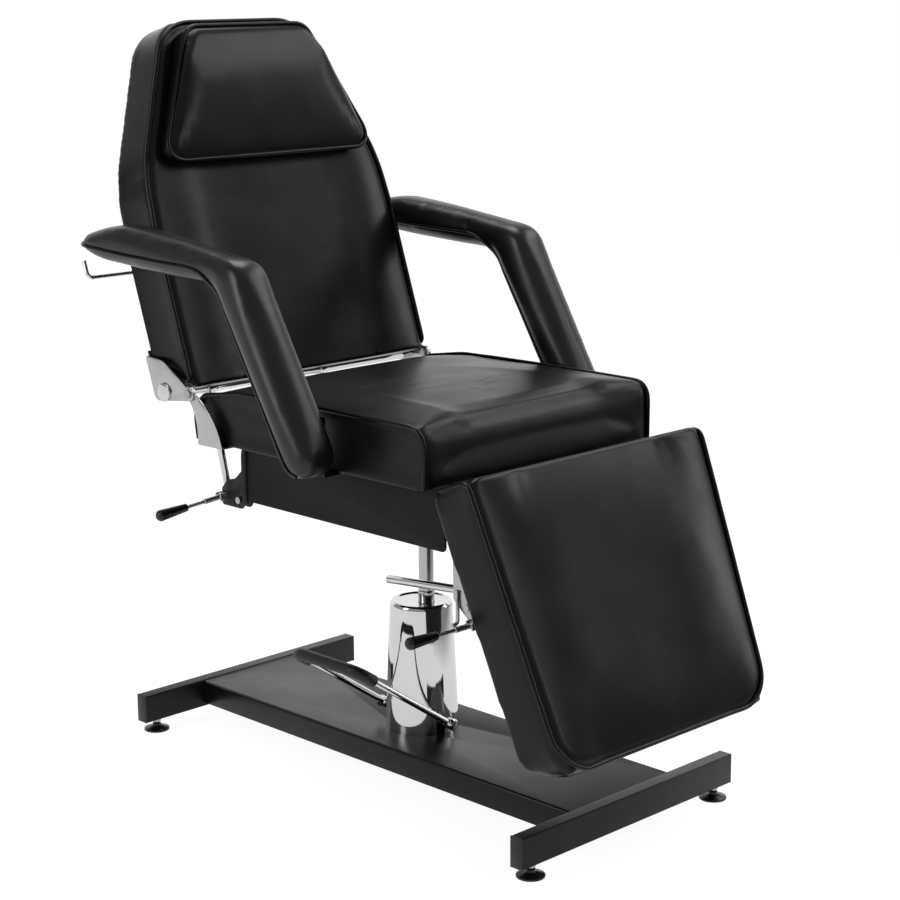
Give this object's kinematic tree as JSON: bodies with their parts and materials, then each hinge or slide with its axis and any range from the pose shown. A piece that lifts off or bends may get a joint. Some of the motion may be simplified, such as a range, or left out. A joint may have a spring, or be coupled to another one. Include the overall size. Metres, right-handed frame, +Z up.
{
  "type": "tattoo chair",
  "caption": "Padded black reclining chair with foldaway leg rest, angled armrests and head pillow on a hydraulic column with foot pedal and beam base.",
  "frame": {"origin": "middle of the part's footprint, on the floor", "axes": "+Z up; the sitter faces -Y; +X is to the right of someone who looks at the chair from the front"},
  "size_m": [0.83, 1.3165, 1.4918],
  "materials": {
    "black_vinyl": "satin",
    "bright_chrome": "polished",
    "polished_steel": "satin",
    "black_paint": "satin",
    "plywood": "matte",
    "black_plastic": "satin",
    "black_rubber": "matte",
    "bare_steel": "satin",
    "black_oxide_steel": "satin"
  },
  "bodies": {
    "base": {"base_front_beam": "black_paint", "base_rear_beam": "black_paint", "beam_end_plugs": "black_plastic", "base_plate": "black_paint", "foot_lock_nuts": "black_oxide_steel", "pump_cylinder": "bare_steel", "pump_cover": "bright_chrome", "pump_gland": "bright_chrome", "pump_bolts": "bare_steel"},
    "foot_fl": {"foot_front_left": "black_plastic"},
    "foot_fr": {"foot_front_right": "black_plastic"},
    "foot_rl": {"foot_rear_left": "black_plastic"},
    "foot_rr": {"foot_rear_right": "black_plastic"},
    "pedal": {"pedal_shaft": "bare_steel", "pedal_frame": "bright_chrome", "pedal_sleeve": "black_rubber", "pedal_end_caps": "bright_chrome"},
    "piston": {"piston_rod": "bright_chrome", "swivel_hub": "bare_steel", "swivel_nut": "bare_steel"},
    "carriage": {"bearing_housing": "black_paint", "swivel_rails": "black_paint", "cross_tubes": "black_paint", "side_panel_left": "black_paint", "side_panel_right": "black_paint", "seat_board": "plywood", "seat_cushion": "black_vinyl", "lower_hinge_left": "polished_steel", "lower_hinge_right": "polished_steel", "hinge_pins": "bare_steel", "seat_screws": "bare_steel", "armrest_left": "black_vinyl", "armrest_right": "black_vinyl", "armrest_brackets": "polished_steel", "armrest_bolts": "bare_steel", "back_clamp": "polished_steel", "rod_guide": "polished_steel", "leg_clamp": "polished_steel", "clamp_bolts": "bare_steel", "leg_hinge_seat_leaves": "black_paint"},
    "backrest": {"back_board": "plywood", "back_cushion": "black_vinyl", "headrest_pillow": "black_vinyl", "upper_hinge_left": "polished_steel", "upper_hinge_right": "polished_steel", "back_crossbar": "bright_chrome", "back_screws": "bare_steel", "roll_bar": "bright_chrome", "roll_brackets": "bright_chrome"},
    "back_rods": {"back_rods": "bright_chrome"},
    "legrest": {"leg_board": "plywood", "leg_cushion": "black_vinyl", "leg_hinge_leaves": "black_paint", "leg_rod_bracket": "black_paint", "leg_rod_pin": "bare_steel"},
    "leg_rod": {"leg_rod": "bright_chrome"},
    "back_lever": {"back_lever_arm": "bright_chrome", "back_lever_grip": "black_plastic"},
    "leg_lever": {"leg_lever_arm": "bright_chrome", "leg_lever_grip": "black_plastic"}
  },
  "joints": [
    {"name": "foot_fl_turn", "type": "hinge", "parent": "base", "child": "foot_fl", "pos_m": [-0.262, -0.547, 0.02], "axis": [0, 0, 1], "continuous": true},
    {"name": "foot_fr_turn", "type": "hinge", "parent": "base", "child": "foot_fr", "pos_m": [0.262, -0.547, 0.02], "axis": [0, 0, 1], "continuous": true},
    {"name": "foot_rl_turn", "type": "hinge", "parent": "base", "child": "foot_rl", "pos_m": [-0.262, 0.554, 0.02], "axis": [0, 0, 1], "continuous": true},
    {"name": "foot_rr_turn", "type": "hinge", "parent": "base", "child": "foot_rr", "pos_m": [0.262, 0.554, 0.02], "axis": [0, 0, 1], "continuous": true},
    {"name": "pedal_press", "type": "hinge", "parent": "base", "child": "pedal", "pos_m": [-0.018, -0.001, 0.113], "axis": [0, -1, 0], "range_deg": [0, 26], "stiffness_Nm_per_rad": 6, "springref_deg": -34.38},
    {"name": "column_lift", "type": "slide", "parent": "base", "child": "piston", "axis": [0, 0, 1], "range_m": [-0.1, 0.05]},
    {"name": "seat_swivel", "type": "hinge", "parent": "piston", "child": "carriage", "pos_m": [0, -0.013, 0.57], "axis": [0, 0, 1], "continuous": true},
    {"name": "back_recline", "type": "hinge", "parent": "carriage", "child": "backrest", "pos_m": [0, 0.321, 0.776], "axis": [-1, 0, 0], "range_deg": [0, 68]},
    {"name": "back_rod_swing", "type": "hinge", "parent": "backrest", "child": "back_rods", "pos_m": [0, 0.398, 0.769], "axis": [-1, 0, 0], "range_deg": [-79, 0]},
    {"name": "leg_raise", "type": "hinge", "parent": "carriage", "child": "legrest", "pos_m": [0, -0.351, 0.68], "axis": [-1, 0, 0], "range_deg": [0, 67.7]},
    {"name": "leg_rod_swing", "type": "hinge", "parent": "legrest", "child": "leg_rod", "pos_m": [-0.216, -0.405, 0.488], "axis": [-1, 0, 0], "range_deg": [-34, 0]},
    {"name": "back_lever_lift", "type": "hinge", "parent": "carriage", "child": "back_lever", "pos_m": [-0.2406, 0.337, 0.549], "axis": [0, 1, 0], "range_deg": [0, 12]},
    {"name": "leg_lever_lift", "type": "hinge", "parent": "carriage", "child": "leg_lever", "pos_m": [-0.2406, -0.379, 0.43], "axis": [0, 1, 0], "range_deg": [0, 12]}
  ],
  "couplings": [
    {"joint": "back_rod_swing", "follows": "back_recline", "ratio": -1.15},
    {"joint": "leg_rod_swing", "follows": "leg_raise", "ratio": -0.5}
  ]
}
